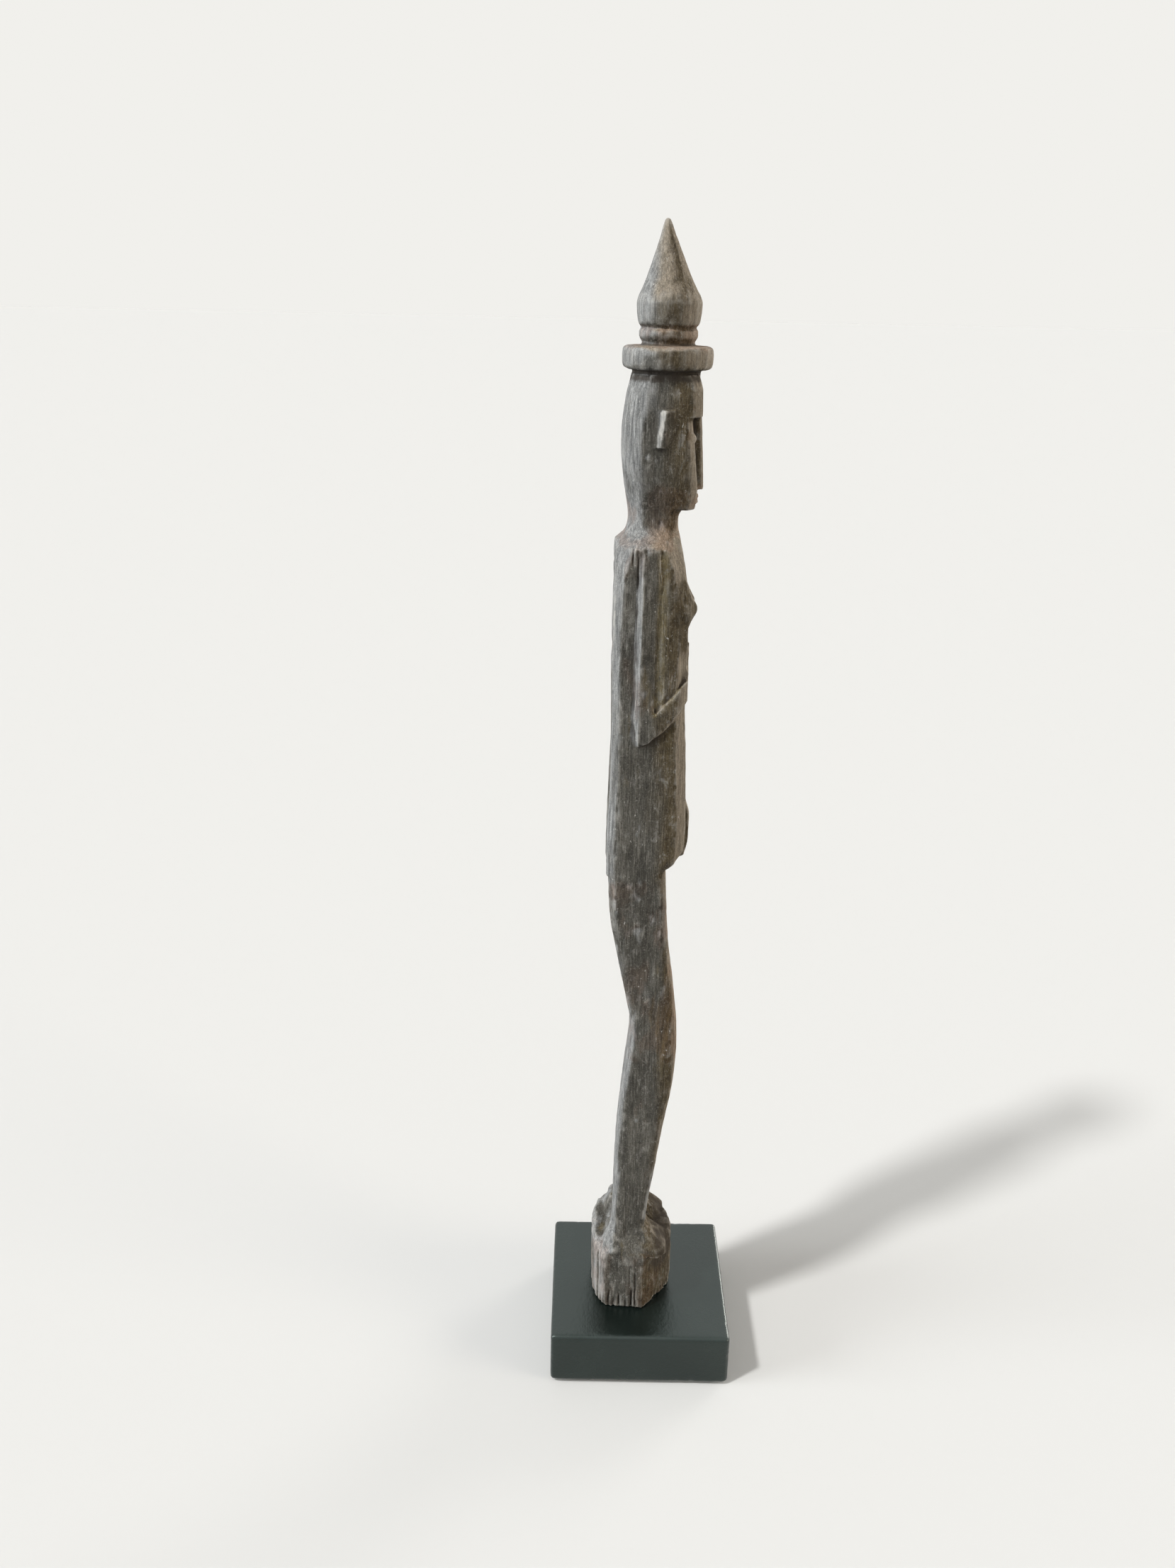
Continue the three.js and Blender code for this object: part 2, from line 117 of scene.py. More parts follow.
def make_lights():
    for name, direction, strength, spread, colour in LIGHTS:
        light = bpy.data.lights.new(name, "SUN")
        light.energy = strength
        light.angle = math.radians(spread)
        light.color = colour
        lamp = bpy.data.objects.new(name, light)
        lamp.rotation_euler = Vector(direction).to_track_quat("Z", "Y").to_euler()
        bpy.context.scene.collection.objects.link(lamp)


def make_surround():
    """Plain pale for the camera and in reflections, and otherwise dim above and a little brighter below."""
    world = bpy.data.worlds.new("surround")
    bpy.context.scene.world = world
    world.use_nodes = True
    nodes = world.node_tree.nodes
    links = world.node_tree.links

    def backdrop(strength, colour=(1, 1, 1)):
        node = nodes.new("ShaderNodeBackground")
        node.inputs["Color"].default_value = (*colour, 1)
        node.inputs["Strength"].default_value = strength
        return node.outputs[0]

    def choose(factor, first, second):
        node = nodes.new("ShaderNodeMixShader")
        links.new(factor, node.inputs[0])
        links.new(first, node.inputs[1])
        links.new(second, node.inputs[2])
        return node.outputs[0]

    ray = nodes.new("ShaderNodeLightPath")
    way = nodes.new("ShaderNodeSeparateXYZ")
    links.new(nodes.new("ShaderNodeTexCoord").outputs["Generated"], way.inputs[0])
    height = nodes.new("ShaderNodeMapRange")
    links.new(way.outputs["Z"], height.inputs["Value"])
    height.inputs["From Min"].default_value = -HORIZON_BLUR
    height.inputs["From Max"].default_value = HORIZON_BLUR
    around = choose(height.outputs[0], backdrop(SURROUND_BELOW), backdrop(SURROUND_ABOVE))
    glossy = choose(ray.outputs["Is Glossy Ray"], around, backdrop(SURROUND_IN_GLOSS))
    seen = choose(ray.outputs["Is Camera Ray"], glossy, backdrop(1, BACKGROUND))
    links.new(seen, nodes["World Output"].inputs["Surface"])
    bpy.context.scene.view_settings.view_transform = "Standard"


# ---------------------------------------------------------------- noise and mesh helpers, in millimetres

TABLE_ROWS = 256
OFFSET_MOST = 64
NOISE_GAIN = 1.5


def row_of(table, cell):
    """The row of a shuffled table that belongs to each cell."""
    row = 0
    for axis in range(3):
        row = table[(row + cell[:, axis]) % TABLE_ROWS]
    return row


def noise(points, size, seed):
    """Smooth noise of about -1 to 1, whose bumps are size (x, y, z) long."""
    rng = np.random.default_rng(seed)
    table = rng.permutation(TABLE_ROWS)
    slopes = rng.normal(size=(TABLE_ROWS, 3))
    slopes /= np.linalg.norm(slopes, axis=1, keepdims=True)
    place = points / np.asarray(size, float) + rng.uniform(0, OFFSET_MOST, 3)
    cell = np.floor(place).astype(int)
    inside = place - cell
    ease = inside**3 * (inside * (inside * 6 - 15) + 10)
    total = np.zeros(len(points))
    for corner in np.ndindex(2, 2, 2):
        weight = np.prod(np.where(corner, ease, 1 - ease), axis=1)
        total += weight * np.einsum("ij,ij->i", slopes[row_of(table, cell + corner)], inside - corner)
    return total * NOISE_GAIN


def cells(points, size, seed):
    """Distance to the nearest of the seeds, one in each cell of that size, and that seed's name, 0 to 1."""
    rng = np.random.default_rng(seed)
    table = rng.permutation(TABLE_ROWS)
    jitter = rng.uniform(0, 1, size=(TABLE_ROWS, 3))
    place = points / np.asarray(size, float) + rng.uniform(0, OFFSET_MOST, 3)
    cell = np.floor(place).astype(int)
    best = np.full(len(points), np.inf)
    name = np.zeros(len(points))
    for step in np.ndindex(3, 3, 3):
        near = cell + step - 1
        row = row_of(table, near)
        gap = np.linalg.norm(near + jitter[row] - place, axis=1)
        closer = gap < best
        best = np.where(closer, gap, best)
        name = np.where(closer, row / (TABLE_ROWS - 1), name)
    return best, name


def mesh_arrays(mesh):
    """Vertex places in mm, unit normals, and edges."""
    count = len(mesh.vertices)
    places = np.empty(count * 3, np.float32)
    mesh.vertices.foreach_get("co", places)
    normals = np.empty(count * 3, np.float32)
    mesh.vertices.foreach_get("normal", normals)
    edges = np.empty(len(mesh.edges) * 2, np.int32)
    mesh.edges.foreach_get("vertices", edges)
    return places.reshape(-1, 3) / MM, normals.reshape(-1, 3), edges.reshape(-1, 2)


def set_places(mesh, places_mm):
    mesh.vertices.foreach_set("co", (places_mm * MM).astype(np.float32).ravel())
    mesh.update()


def smoothed(values, edges, times):
    """Values after each has moved halfway to the mean of its neighbours, times over."""
    flat = values.ndim == 1
    values = values[:, None] if flat else values
    first, second = edges.T
    total = len(values)
    degree = np.bincount(first, minlength=total) + np.bincount(second, minlength=total)
    degree = np.maximum(degree, 1)
    for _ in range(times):
        columns = []
        for k in range(values.shape[1]):
            there = np.bincount(first, values[second, k], total)
            back = np.bincount(second, values[first, k], total)
            columns.append((there + back) / degree)
        values = 0.5 * values + 0.5 * np.stack(columns, 1)
    return values[:, 0] if flat else values


def with_modifier(mesh, kind, **settings):
    """A new mesh: the old one with one modifier applied."""
    piece = bpy.data.objects.new("work", mesh)
    bpy.context.scene.collection.objects.link(piece)
    modifier = piece.modifiers.new("work", kind)
    for name, value in settings.items():
        setattr(modifier, name, value)
    shown = piece.evaluated_get(bpy.context.evaluated_depsgraph_get())
    made = bpy.data.meshes.new_from_object(shown)
    bpy.data.objects.remove(piece)
    return made


def remeshed(node, voxel_mm):
    return with_modifier(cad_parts[node].data.copy(), "REMESH", mode="VOXEL", voxel_size=voxel_mm * MM)


def thinned(mesh, most_triangles):
    triangles = sum(len(face.vertices) - 2 for face in mesh.polygons)
    if triangles <= most_triangles:
        return mesh
    return with_modifier(mesh, "DECIMATE", ratio=most_triangles / triangles)


def add_attribute(mesh, name, values):
    attribute = mesh.attributes.new(name, "FLOAT", "POINT")
    attribute.data.foreach_set("value", np.clip(values, 0, 1).astype(np.float32))


def add_piece(name, mesh, material, nodes):
    """A finished piece that stands for CAD nodes and rides on the one body."""
    mesh.name = name
    mesh.materials.clear()
    mesh.materials.append(material)
    mesh.polygons.foreach_set("use_smooth", [True] * len(mesh.polygons))
    piece = bpy.data.objects.new(name, mesh)
    bpy.context.scene.collection.objects.link(piece)
    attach(piece, "root")
    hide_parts(*nodes)


# ---------------------------------------------------------------- shader helpers

class Shader:
    """A material's nodes, with short names for the ones that repeat."""

    def __init__(self, name):
        self.material = bpy.data.materials.new(name)
        self.material.use_nodes = True
        self.tree = self.material.node_tree
        self.out = self.tree.nodes["Principled BSDF"]
        self.place = self.add("TexCoord").outputs["Object"]

    def add(self, kind, **settings):
        node = self.tree.nodes.new("ShaderNode" + kind)
        for name, value in settings.items():
            setattr(node, name, value)
        return node

    def feed(self, socket, value):
        """Links a socket to another node's, or gives it a plain value."""
        if isinstance(value, bpy.types.NodeSocket):
            self.tree.links.new(value, socket)
        else:
            socket.default_value = value

    def stretched(self, scale):
        node = self.add("Mapping")
        self.feed(node.inputs["Vector"], self.place)
        node.inputs["Scale"].default_value = scale
        return node.outputs[0]

    def noise(self, scale, detail=4.0, roughness=0.55, stretch=(1, 1, 1), distortion=0.0):
        node = self.add("TexNoise")
        self.feed(node.inputs["Vector"], self.stretched(stretch))
        node.inputs["Scale"].default_value = scale
        node.inputs["Detail"].default_value = detail
        node.inputs["Roughness"].default_value = roughness
        node.inputs["Distortion"].default_value = distortion
        return node.outputs["Fac"]

    def attribute(self, name):
        return self.add("Attribute", attribute_name=name).outputs["Fac"]

    def between(self, value, low, high, to_low=0.0, to_high=1.0):
        """value mapped from low..high to to_low..to_high, and held there."""
        node = self.add("MapRange", interpolation_type="SMOOTHSTEP")
        self.feed(node.inputs["Value"], value)
        node.inputs["From Min"].default_value = low
        node.inputs["From Max"].default_value = high
        node.inputs["To Min"].default_value = to_low
        node.inputs["To Max"].default_value = to_high
        return node.outputs[0]

    def math(self, operation, first, second=0.0):
        node = self.add("Math", operation=operation)
        self.feed(node.inputs[0], first)
        self.feed(node.inputs[1], second)
        return node.outputs[0]

    def mix(self, factor, first, second, blend="MIX"):
        node = self.add("Mix", data_type="RGBA", blend_type=blend)
        self.feed(node.inputs[0], factor)
        self.feed(node.inputs[6], first)
        self.feed(node.inputs[7], second)
        return node.outputs[2]

    def tinted(self, factor, colour, tint):
        """colour multiplied by tint, as far as factor says."""
        return self.mix(factor, colour, self.mix(1, colour, tint, "MULTIPLY"))

    def darkened(self, factor, colour, share):
        """colour brought down to that share of itself, as far as factor says."""
        return self.tinted(factor, colour, (share, share, share, 1))

    def bump(self, height, distance_mm, strength=1.0, under=None):
        node = self.add("Bump")
        node.inputs["Strength"].default_value = strength
        node.inputs["Distance"].default_value = distance_mm * MM
        self.feed(node.inputs["Height"], height)
        if under is not None:
            self.feed(node.inputs["Normal"], under)
        return node.outputs[0]


# ---------------------------------------------------------------- the carved wood

FIGURE_VOXEL_MM = 0.55
FIGURE_TRIANGLES = 192000

WOOD_DARK = (0.097, 0.092, 0.078, 1)
WOOD_PALE = (0.176, 0.168, 0.145, 1)
BROWN_DARK = (0.098, 0.074, 0.041, 1)
BROWN_PALE = (0.160, 0.128, 0.078, 1)
BLEACHED_AND_LIT_DARK = (0.285, 0.290, 0.288, 1)
BLEACHED_AND_LIT_PALE = (0.420, 0.425, 0.418, 1)
BLEACHED_AND_LIT_WARM = (0.390, 0.325, 0.240, 1)
OCHRE = (0.240, 0.192, 0.100, 1)
RED_TINT = (1.0, 0.86, 0.80, 1)
WORN_PATCH = (0.340, 0.328, 0.300, 1)
GRAIN_RIDGE = (0.430, 0.410, 0.370, 1)
SPECKLE = (0.400, 0.385, 0.350, 1)
FLECK = (0.500, 0.485, 0.455, 1)
RUBBED_AND_HIGHLIT = (0.470, 0.455, 0.420, 1)
DIP_AND_SHADE_DARK = (0.035, 0.028, 0.022, 1)
WOOD_GLOSS = 0.18

# How the wood's noises are stretched along its grain, as cycles per metre across and along it.
GRAIN = (1350, 1350, 95)
STREAK = (560, 560, 40)


def weathered_wood():
    """Old dry hardwood: fine long grain, pale grey behind that is partly weathering and partly painted
    light, olive brown in front, with pale flecks.
    """
    s = Shader("weathered_wood")
    grain = s.noise(1, 6, 0.68, GRAIN, 0.6)
    streak = s.noise(1, 4, 0.6, STREAK, 0.4)
    dust = s.noise(2300, 3, 0.7)
    patch = s.noise(60, 4, 0.6, (1, 1, 0.5), 0.5)
    blotch = s.noise(210, 5, 0.7, (1, 1, 0.6), 0.4)
    colour = bleached_and_lit(s, sheltered_colour(s, patch, blotch), streak)
    colour = s.tinted(red_amount(s), colour, RED_TINT)
    colour = grained(s, colour, streak, grain, dust)
    colour = flecked(s, colour, patch)
    # Rubbed high spots are real wear; on the back face of each ear the same pale is a painted highlight.
    rubbed_and_highlit = s.math("MULTIPLY", s.attribute("wear"), s.between(blotch, 0.35, 0.60, 0.25, 1))
    colour = s.mix(rubbed_and_highlit, colour, RUBBED_AND_HIGHLIT)
    # Darker in dips, with a painted shadow under the brim and painted shade behind the ears and round the
    # toes.
    colour = s.mix(s.between(s.attribute("dips_and_shade"), 0.15, 0.9, 0, 0.85), colour, DIP_AND_SHADE_DARK)
    s.feed(s.out.inputs["Base Color"], colour)
    s.feed(s.out.inputs["Roughness"], s.between(patch, 0.3, 0.7, 0.74, 0.92))
    s.out.inputs["Specular IOR Level"].default_value = WOOD_GLOSS

    coarse = s.bump(streak, 0.35, 0.7)
    fine = s.bump(grain, 0.30, 0.9, coarse)
    s.feed(s.out.inputs["Normal"], s.bump(dust, 0.12, 0.7, fine))
    return s.material


def sheltered_colour(s, patch, blotch):
    """The wood before the pale grey is laid over it: grey and brown patches, ochre stains, worn and darker
    blotches.
    """
    colour = s.mix(s.between(patch, 0.36, 0.64), WOOD_DARK, WOOD_PALE)
    brown = s.mix(s.between(blotch, 0.35, 0.65), BROWN_DARK, BROWN_PALE)
    # The brown follows the warmth, which is partly painted warm light on forward and upward faces.
    colour = s.mix(s.between(s.attribute("warmth"), 0.15, 0.9), colour, brown)
    colour = s.mix(ochre_amount(s, blotch), colour, OCHRE)
    colour = s.mix(s.between(blotch, 0.54, 0.68, 0, 0.7), colour, WORN_PATCH)
    return s.darkened(s.between(blotch, 0.32, 0.46, 0.6, 0), colour, 0.45)


def bleached_and_lit(s, colour, streak):
    """colour under a streaky pale grey that is partly weathered wood and partly painted light, or a warmer
    pale where the wood is brown.
    """
    pale = s.mix(s.between(streak, 0.35, 0.65), BLEACHED_AND_LIT_DARK, BLEACHED_AND_LIT_PALE)
    pale = s.mix(s.between(s.attribute("warmth"), 0.3, 0.9, 0, 0.85), pale, BLEACHED_AND_LIT_WARM)
    return s.mix(s.between(s.attribute("bleach_and_light"), 0.25, 0.75, 0, 0.92), colour, pale)


def grained(s, colour, streak, grain, dust):
    """colour with dark streaks, dark pores and pale ridges of the grain, and dark dust."""
    colour = s.darkened(s.between(streak, 0.36, 0.62, 0.40, 0), colour, 0.55)
    colour = s.darkened(s.between(grain, 0.36, 0.64, 0.78, 0), colour, 0.42)
    colour = s.mix(s.between(grain, 0.56, 0.76, 0, 0.50), colour, GRAIN_RIDGE)
    return s.darkened(s.between(dust, 0.38, 0.60, 0.45, 0), colour, 0.38)


def flecked(s, colour, patch):
    """colour with fine dark and pale speckles and small pale flecks, most of these on the paler patches."""
    speckle = s.noise(1050, 3, 0.75)
    colour = s.darkened(s.between(speckle, 0.34, 0.50, 0.4, 0), colour, 0.45)
    colour = s.mix(s.between(speckle, 0.54, 0.72, 0, 0.3), colour, SPECKLE)
    crumbs = s.noise(620, 3, 0.6, (1, 1, 0.7))
    fleck = s.math("MULTIPLY", s.between(crumbs, 0.65, 0.74, 0, 0.8), s.between(patch, 0.40, 0.60, 0.25, 1))
    return s.mix(fleck, colour, FLECK)


def ochre_amount(s, blotch):
    """Ochre earth: a few long chance stains, and the grooves that the mesh marks."""
    stains = s.between(s.noise(75, 4, 0.6, (1, 1, 0.22)), 0.60, 0.70, 0, 0.5)
    grooves = s.math("MULTIPLY", s.attribute("ochre"), s.between(blotch, 0.30, 0.60, 0.4, 1))
    return s.math("MAXIMUM", stains, grooves)


def red_amount(s):
    """Scattered reddish stains, more of them in the bands that the mesh marks."""
    scatter = s.noise(52, 5, 0.65, (1, 1, 0.55), 0.7)
    more = s.math("MULTIPLY", s.attribute("redness"), 0.24)
    return s.between(s.math("ADD", scatter, more), 0.58, 0.72, 0, 0.9)


# Parts of the figure, from which height to which. Heights are in mm above the pedestal's underside.
FOOT_MOUND = (30, 54)
FEET = (28, 58)
SHINS = (70, 222)
LEGS = (150, 264)
THIGH_HAZE = (190, 262)
THIGH_BACKS = (200, 258)
CLEFT = (236, 268)
BACK = (300, 428)
FOREARM = (340, 392)
ARM_RIDGE = (340, 418)
GROOVE = (345, 428)
UPPER_ARM = (358, 426)
SHOULDER_TOPS = (434, 444)
NECK_FOOT = (439, 446)
JAW = (446, 474)
BACK_OF_HEAD = (446, 506)
HEAD = (446, 508)
EARS = (478, 496)
UNDER_BRIM = (508.0, 511.5)
HEADDRESS_START = 511.5

# Cuts along the grain, in mm: x, y of the cut, its lowest and highest height, depth and half width.
# A cut only marks the skin near that point.
CUTS = [
    (-17.5, 9.4, 479, 494, 0.5, 0.35), (-17.5, 11.0, 481, 496, 0.6, 0.35),
    (-17.2, 12.6, 480, 493, 0.45, 0.35), (17.5, 9.6, 478, 495, 0.6, 0.4),
    (17.5, 11.6, 480, 494, 0.5, 0.4), (-21.6, 16.8, 423, 436, 1.1, 0.45),
    (-22.6, 14.5, 412, 434, 0.8, 0.4), (-23.0, 10.6, 427, 436, 0.6, 0.4), (-22.0, 3.0, 418, 436, 0.8, 0.45),
    (21.6, 17.0, 420, 436, 1.0, 0.5), (22.6, 14.6, 410, 434, 0.8, 0.4), (22.0, 6.0, 424, 436, 0.6, 0.4),
    (-21.0, 26.0, -2, 34, 2.0, 0.6), (-25.8, 17.6, -2, 13, 1.1, 0.6), (-26.3, 15.0, -2, 9, 1.0, 0.6),
    (-26.6, 11.8, -2, 12, 1.1, 0.6), (-27.0, 8.4, -2, 8, 0.9, 0.6), (-27.2, 5.0, -2, 15, 1.2, 0.6),
    (-27.4, 3.0, -2, 26, 0.9, 0.5), (27.6, 8.0, -2, 22, 1.4, 0.6), (4.0, 27.6, -2, 30, 1.8, 0.7),
    (-6.0, -18.2, -2, 20, 1.3, 0.6), (12.0, -15.8, 4, 36, 1.4, 0.6), (3.0, 25.4, 292, 402, 0.8, 0.5),
    (-8.0, 25.4, 330, 432, 0.6, 0.45), (9.0, 23.0, 455, 508, 0.7, 0.45), (21.6, 6.0, 276, 330, 0.7, 0.5),
    (-3.0, -14.0, 306, 352, 0.5, 0.5),
]
CUT_SEED = 40
CUT_FADE = 5
CUT_REACH = 7
CUT_WANDER = 0.6
GRAIN_CENTRE_Y = 5.0

# Beside the chest, the skin of both sides is moved in or out, in mm. Each upper arm slopes down from its
# ridge by this share of what it stands proud, and the chest in front of it swells, so that a soft groove
# lies between the two.
ARM_RIDGE_Y = 11.6
ARM_FRONT_Y = 3.6
ARM_SLOPE = 0.95
ARM_PROUD_MOST = 3
CHEST_SWELL = 1.3
CHEST_RISE = 3.4
CHEST_FALL = 7
CHEST_FRONT_Y = -10.0
CHEST_SIDE_Y = (0, 3)
CHEST_SPAN = (360, 436)
CHEST_STEP = 4.0
SHOULDER_EDGE = 434
SIDE_X = 17
SIDE_FADE = 3
FOREARM_TOP = 356
FOREARM_TILT = 1.1

# The back has a shallow channel down its spine and a plane over each shoulder blade, in mm. The rim of the
# plane is as soft as this share of its size.
SPINE_DEPTH = 2.0
SPINE_HALF_WIDTH = 3.6
BLADE_PLACE = (9.5, 398)
BLADE_REACH = (6.5, 24)
BLADE_RISE = 1.5
BLADE_RIM = 0.5

# How deep the marks of tools, weather and wear go, in mm, and how high up the ragged lower edge reaches.
WAVE = 0.26
SCOOP = 0.30
FIBRE = 0.10
SPLIT = 0.28
LUMP = 0.16
STRIATION = 0.45
MOUND_LUMP = 0.8
PIT = 0.5
BITE = 1.2
BITE_ON_HEADDRESS = 0.5
MOST_RISE = 0.25
RAGGED_EDGE = 1.5
RAGGED_HEIGHT = 8

# The back of the head, behind this y, and other smooth parts are softened this many times. Skin that faces
# almost straight up or down isn't marked.
HEAD_BACK_Y = 9.5
SOFTENING_TIMES = 120
ALMOST_LEVEL = 0.999


def window(value, low, high, fade):
    """One between low and high, and nought from fade beyond them."""
    return np.clip((value - low) / fade + 1, 0, 1) * np.clip((high - value) / fade + 1, 0, 1)


def bands(height, rows):
    """The sum of soft bands of height, whose rows give lowest and highest height, fade and amount."""
    return sum(amount * window(height, low, high, fade) for low, high, fade, amount in rows)


def height_of(points):
    return points[:, 2] - FIGURE_BOTTOM / MM


def forearm_line(y):
    """The height of the forearm's upper edge, which rises towards the front."""
    return FOREARM_TOP - FOREARM_TILT * y


def cut_depth(points, normals, cut, seed):
    """How deep one cut goes at each point: a narrow wandering notch that fades at its ends."""
    x, y, low, high, depth, half_width = cut
    height = height_of(points)
    outward = np.array([x, y - GRAIN_CENTRE_Y])
    outward /= np.linalg.norm(outward)
    across = np.array([-outward[1], outward[0]])
    along = np.stack([height * 0, height * 0, height], 1)
    offset = (points[:, :2] - (x, y)) @ across - CUT_WANDER * noise(along, (1, 1, 12), seed)
    facing = normals[:, :2] @ outward > 0.25
    near = np.abs((points[:, :2] - (x, y)) @ outward) < CUT_REACH
    ends = np.clip((height - low) / CUT_FADE, 0, 1) * np.clip((high - height) / CUT_FADE, 0, 1)
    return depth * ends * facing * near * np.exp(-((offset / half_width) ** 2))


def softened(points, edges, weight, times):
    """Points after those with some weight move towards the mean of their neighbours."""
    keep = weight > 0
    number = np.cumsum(keep) - 1
    pairs = number[edges[keep[edges].all(axis=1)]]
    points = points.copy()
    points[keep] += (smoothed(points[keep], pairs, times) - points[keep]) * weight[keep][:, None]
    return points


def softness(points, height):
    """How smooth each point is to be: the back of the head, the foot of the neck, and the legs."""
    back_of_head = window(height, *BACK_OF_HEAD, 6) * np.clip((points[:, 1] - HEAD_BACK_Y) / 2.5, 0, 1)
    neck_foot = 0.8 * window(height, *NECK_FOOT, 3)
    legs = 0.75 * window(height, *SHINS, 14)
    return np.maximum(np.maximum(back_of_head, neck_foot), legs)


def chest_half_width(points, height):
    """Half the width of the chest just in front of the arm, at each point's height."""
    levels = np.arange(*CHEST_SPAN, CHEST_STEP)
    beside = window(points[:, 1], *CHEST_SIDE_Y, 0.01) > 0
    half_step = CHEST_STEP / 2
    widths = [np.abs(points[beside & (np.abs(height - level) < half_step), 0]).max() for level in levels]
    return np.interp(height, levels, widths)


def side_shift(points, height):
    """How far the skin beside the chest moves outwards."""
    x, y = np.abs(points[:, 0]), points[:, 1]
    proud = np.clip(x - chest_half_width(points, height), 0, ARM_PROUD_MOST)
    outside = np.clip((x - SIDE_X) / SIDE_FADE, 0, 1)
    down_arm = np.clip((ARM_RIDGE_Y - y) / (ARM_RIDGE_Y - ARM_FRONT_Y), 0, 1) ** 1.3
    arm = -ARM_SLOPE * proud * down_arm * (y > ARM_FRONT_Y - 0.6) * window(height, *UPPER_ARM, 6)
    rise = np.clip((ARM_FRONT_Y - y) / CHEST_RISE, 0, 1)
    fall = np.clip((y - CHEST_FRONT_Y) / CHEST_FALL, 0, 1)
    above = np.clip((height - forearm_line(y) - 1) / 5, 0, 1) * np.clip((SHOULDER_EDGE - height) / 16, 0, 1)
    chest = CHEST_SWELL * rise * rise * (3 - 2 * rise) * fall * above
    return (arm + chest) * outside


def back_shift(points, normals, height):
    """How far the flat back sinks along the spine and beside the shoulder blades."""
    behind = np.clip(normals[:, 1] * 3 - 1, 0, 1) * (height < HEADDRESS_START)
    across = np.abs(points[:, 0])
    spine = np.exp(-((across / SPINE_HALF_WIDTH) ** 2))
    spine *= np.maximum(window(height, *BACK, 14), window(height, *CLEFT, 10))
    sideways = (across - BLADE_PLACE[0]) / BLADE_REACH[0]
    upwards = (height - BLADE_PLACE[1]) / BLADE_REACH[1]
    rim = np.exp(-(((sideways**2 + upwards**2 - 1.0) / BLADE_RIM) ** 2))
    beside = rim * window(height, *BACK, 10) * (across < SIDE_X)
    return -behind * (SPINE_DEPTH * spine + BLADE_RISE * beside)


def tool_marks(points, turned):
    """Waves, long adze hollows, raised fibres, fine splits and small lumps, calmer on the headdress."""
    rough = np.clip(0.7 + 0.7 * noise(points, (22, 22, 46), 12), 0.2, 1.3) * np.where(turned, 0.22, 1)
    scoop, _ = cells(points + 1.5 * noise(points, (16, 16, 30), 14)[:, None], (8, 8, 24), 13)
    fibres = noise(points + 0.5 * noise(points, (9, 9, 22), 15)[:, None], (1.5, 1.5, 26), 16)
    splits = np.clip(noise(points, (1.8, 1.8, 16), 21) - 0.35, 0, 1)
    waves = WAVE * noise(points, (14, 14, 40), 17) * np.where(turned, 0.4, 1)
    marks = SCOOP * (scoop**2 - 0.5) + FIBRE * fibres - SPLIT * splits
    return waves + rough * marks + LUMP * noise(points, (3.6, 3.6, 6), 22)


def pedestal_marks(points, height):
    """Striations down the pedestal, a lumpy mound round the feet and a ragged lower edge."""
    striations = STRIATION * window(height, -9, 26, 6) * np.clip(noise(points, (1.5, 1.5, 50), 24), 0, 1)
    mound = MOUND_LUMP * window(height, *FOOT_MOUND, 4) * noise(points, (6.5, 6.5, 5.5), 23)
    low = np.clip((RAGGED_HEIGHT - height) / RAGGED_HEIGHT, 0, 1)
    ragged = RAGGED_EDGE * low * np.clip(noise(points, (1.9, 1.9, 12), 20) + 0.1, 0, 1)
    return mound - striations - ragged


def nicks(points, edge, turned):
    """How deep small round pits go, and bites out of the edges."""
    distance, name = cells(points, (8, 8, 12), 18)
    pits = PIT * (name > 0.8) * np.clip(1 - distance / 0.16, 0, 1)
    bites = np.clip(noise(points, (3.2, 3.2, 5), 19) - 0.15, 0, 1) * np.clip(edge / 0.25, 0, 1)
    return pits + np.where(turned, BITE_ON_HEADDRESS, BITE) * bites


def carve(points, normals, edges):
    """The tool marks, grain, cracks and wear of the figure, as new places for its skin."""
    height = height_of(points)
    outwards = np.sign(points[:, 0]) * side_shift(points, height)
    points = points + np.stack([outwards, height * 0, height * 0], 1)
    points = softened(points, edges, softness(points, height), SOFTENING_TIMES)
    crisp = smoothed(points, edges, 2)
    worn = smoothed(crisp, edges, 16)
    edge = np.einsum("ij,ij->i", points - worn, normals)
    rounding = np.clip(0.1 + 0.9 * noise(points, (10, 10, 18), 11), 0, 0.8)
    points = crisp + (worn - crisp) * rounding[:, None]

    turned = height > HEADDRESS_START
    push = tool_marks(points, turned) + back_shift(points, normals, height)
    push += pedestal_marks(points, height) - nicks(points, edge, turned)
    for number, cut in enumerate(CUTS):
        push -= cut_depth(points, normals, cut, CUT_SEED + number)
    push = np.minimum(push, MOST_RISE) * (np.abs(normals[:, 2]) < ALMOST_LEVEL)
    moved = points + normals * push[:, None]
    moved[:, 2] = np.maximum(moved[:, 2], FIGURE_BOTTOM / MM)
    return moved


# Soft bands that change the look of the wood, painted light and shade among them: lowest and highest
# height, fade and amount.
RED_BANDS = [
    (522, 531, 1, 1.2), (436, 458, 5, 1.0), (160, 212, 10, 0.75), (234, 262, 8, 0.7), (-2, 34, 8, 0.7),
]
WARM_BANDS = [(70, 250, 15, -0.55), (*FEET, 8, -0.45)]
WEATHER_AND_LIGHT_BANDS = [(24, 56, 6, -0.15), (-9, 24, 2, -0.16), (*HEAD, 4, 0.16), (438, 450, 8, 0.14)]
FRONT_LIGHT_BANDS = [
    (420, 432, 6, 0.40), (390, 413, 12, -0.22), (290, 366, 8, 0.45),
    (84, 312, 12, -0.10), (-9, 50, 8, -0.25),
]
FRONT_SIDE_LIGHT_BANDS = [(390, 413, 12, -0.80), (84, 312, 12, -0.22), (-9, 50, 8, -0.60)]
TOE_SHADE_BANDS = [(-9, 52, 8, 0.40), (24, 54, 5, 0.38)]

